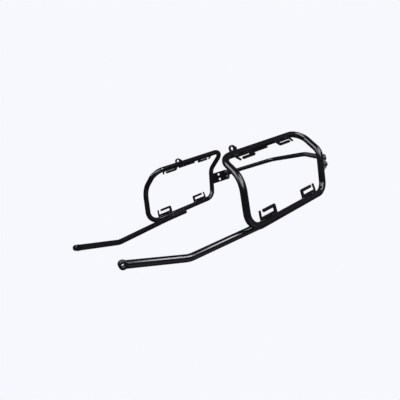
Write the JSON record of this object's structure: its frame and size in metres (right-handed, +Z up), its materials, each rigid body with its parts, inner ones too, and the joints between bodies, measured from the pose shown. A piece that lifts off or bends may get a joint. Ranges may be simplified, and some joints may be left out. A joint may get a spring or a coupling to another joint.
{
  "type": "pannier frame",
  "caption": "Motorbike pannier frame of bent black tube: a kinked hoop with slotted case hooks on each side, forward arms with cross bushes and a bolted rear crossbar.",
  "frame": {"origin": "on the ground, under the middle of the outer box", "axes": "+X to the bike's right, +Y forward, +Z up"},
  "size_m": [0.533, 0.8, 0.2118],
  "materials": {
    "frame_coat": "semi-gloss black powder coat",
    "fasteners": "black zinc"
  },
  "bodies": {
    "root": {"right_hoop_tube": "frame_coat", "right_forward_arm_tube": "frame_coat", "right_arm_bush": "frame_coat", "right_lower_front_hook": "frame_coat", "right_lower_rear_hook": "frame_coat", "right_upper_front_hook": "frame_coat", "right_upper_rear_hook": "frame_coat", "right_top_lug": "frame_coat", "right_top_stop_bar": "frame_coat", "right_rear_bracket": "frame_coat", "right_crossbar_end_plate": "frame_coat", "left_hoop_tube": "frame_coat", "left_forward_arm_tube": "frame_coat", "left_arm_bush": "frame_coat", "left_lower_front_hook": "frame_coat", "left_lower_rear_hook": "frame_coat", "left_upper_front_hook": "frame_coat", "left_upper_rear_hook": "frame_coat", "left_top_lug": "frame_coat", "left_top_stop_bar": "frame_coat", "left_rear_bracket": "frame_coat", "left_crossbar_end_plate": "frame_coat", "crossbar_tube": "frame_coat", "crossbar_bolts": "fasteners", "crossbar_washers": "fasteners", "crossbar_nuts": "fasteners"}
  },
  "joints": []
}
